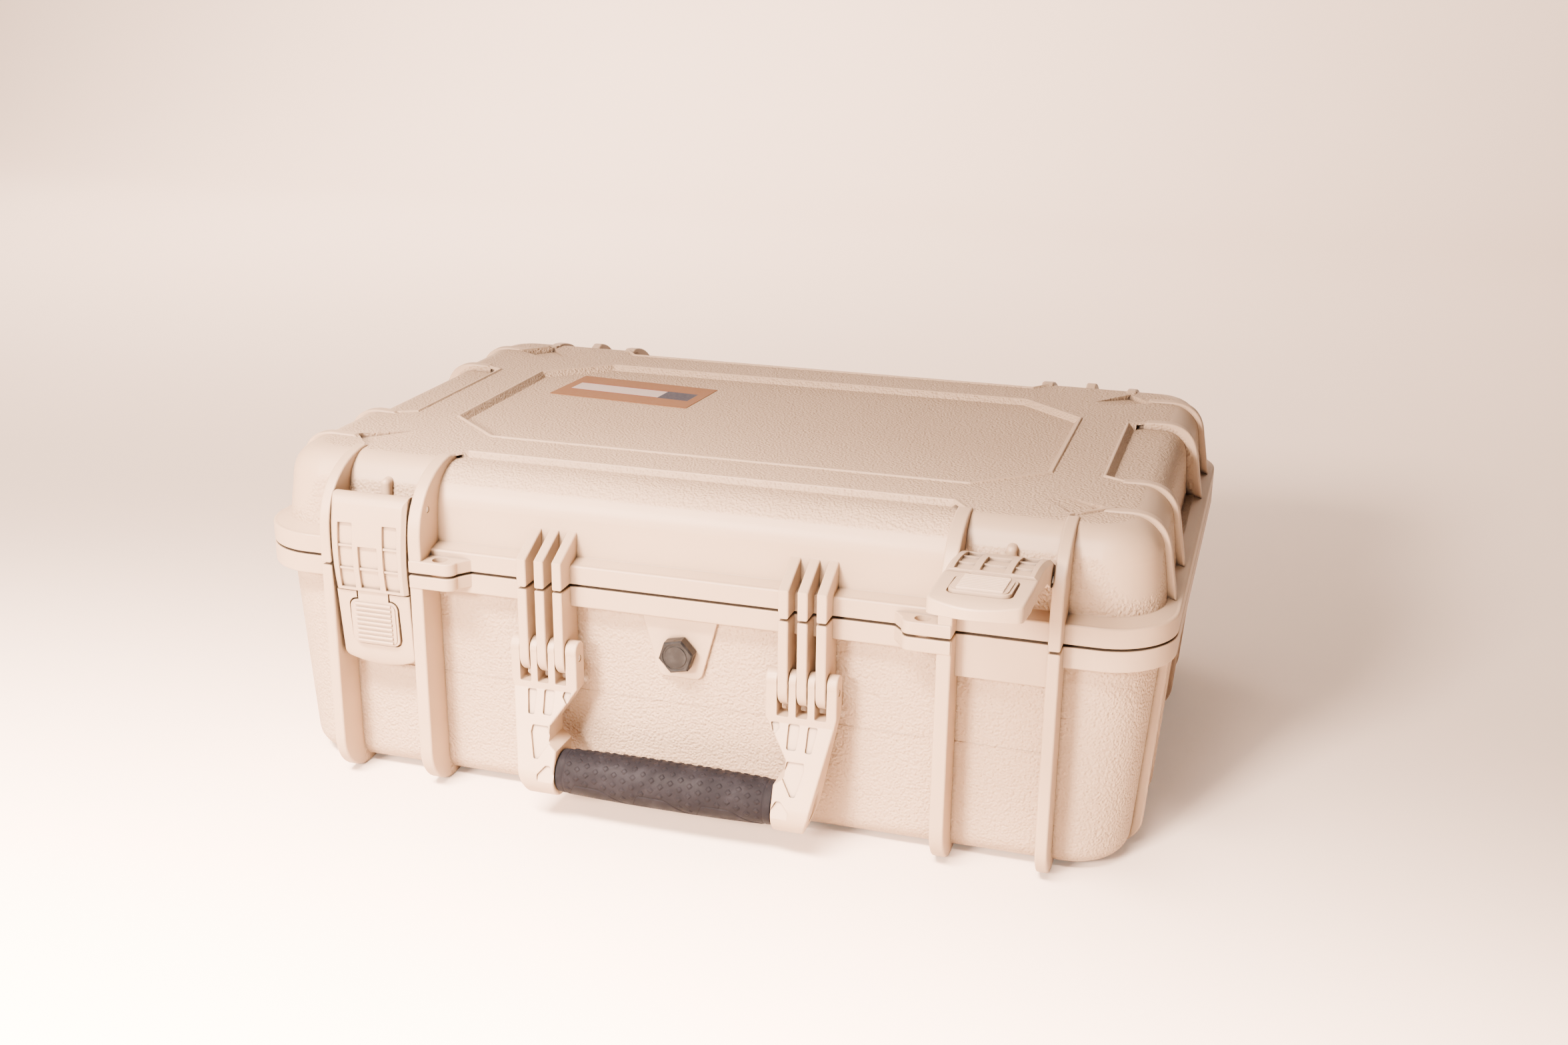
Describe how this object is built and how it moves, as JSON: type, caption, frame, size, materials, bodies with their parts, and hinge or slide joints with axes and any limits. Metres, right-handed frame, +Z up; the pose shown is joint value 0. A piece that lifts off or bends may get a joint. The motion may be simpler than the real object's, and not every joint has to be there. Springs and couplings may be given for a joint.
{
  "type": "hard equipment case",
  "caption": "Ribbed moulded hard case with a hinged lid, draw latches, padlock ears, a swing-out carry handle with rubber grip and a pressure valve.",
  "frame": {"origin": "centre of the rim in X and Y, on the plane that the underside ribs stand on", "axes": "+X along the width, to the viewer's right when facing the latches; -Y towards the front with latches and handle; +Z up"},
  "size_m": [0.56, 0.4831, 0.205],
  "materials": {
    "shell_tan": "desert-tan moulded resin with a fine leather grain",
    "trim_tan": "desert-tan moulded resin, smooth satin",
    "grip_rubber": "charcoal overmoulded rubber",
    "seal_rubber": "black elastomer seal",
    "valve_black": "black satin plastic",
    "membrane_white": "white vent membrane",
    "pin_steel": "stainless pin",
    "label_print": null
  },
  "bodies": {
    "base": {"base_shell": "shell_tan", "hinge_pin_left": "pin_steel", "hinge_pin_right": "pin_steel", "handle_pin_left": "pin_steel", "handle_pin_right": "pin_steel", "valve_body": "valve_black", "valve_seal": "seal_rubber", "valve_nut": "valve_black", "valve_membrane": "membrane_white"},
    "lid": {"lid_shell": "shell_tan", "lid_gasket": "seal_rubber", "label_sticker": "label_print", "latch_pin_left": "pin_steel", "latch_pin_right": "pin_steel"},
    "latch_left": {"latch_body_left": "trim_tan", "lever_pin_left": "pin_steel"},
    "latch_right": {"latch_body_right": "trim_tan", "lever_pin_right": "pin_steel"},
    "lever_left": {"latch_lever_left": "trim_tan", "lever_spring_left": "pin_steel"},
    "lever_right": {"latch_lever_right": "trim_tan", "lever_spring_right": "pin_steel"},
    "handle": {"handle_frame": "trim_tan", "handle_grip": "grip_rubber"}
  },
  "joints": [
    {"name": "lid_hinge", "type": "hinge", "parent": "base", "child": "lid", "pos_m": [0, 0.191, 0.1432], "axis": [-1, 0, 0], "range_deg": [0, 100]},
    {"name": "latch_left_swing", "type": "hinge", "parent": "lid", "child": "latch_left", "pos_m": [-0.1895, -0.1835, 0.1802], "axis": [-1, 0, 0], "range_deg": [0, 99.5]},
    {"name": "latch_right_swing", "type": "hinge", "parent": "lid", "child": "latch_right", "pos_m": [0.1895, -0.1835, 0.1802], "axis": [-1, 0, 0], "range_deg": [-97.5, 2]},
    {"name": "lever_left_press", "type": "hinge", "parent": "latch_left", "child": "lever_left", "pos_m": [-0.1895, -0.1873, 0.1702], "axis": [1, 0, 0], "range_deg": [0, 2.5], "stiffness_Nm_per_rad": 1, "springref_deg": -8.59},
    {"name": "lever_right_press", "type": "hinge", "parent": "latch_right", "child": "lever_right", "pos_m": [0.1895, -0.19292, 0.18527], "axis": [1, 0, 0], "range_deg": [0, 2.5], "stiffness_Nm_per_rad": 1, "springref_deg": -8.59},
    {"name": "handle_swing", "type": "hinge", "parent": "base", "child": "handle", "pos_m": [0, -0.189, 0.1003], "axis": [-1, 0, 0], "range_deg": [0, 105]}
  ]
}
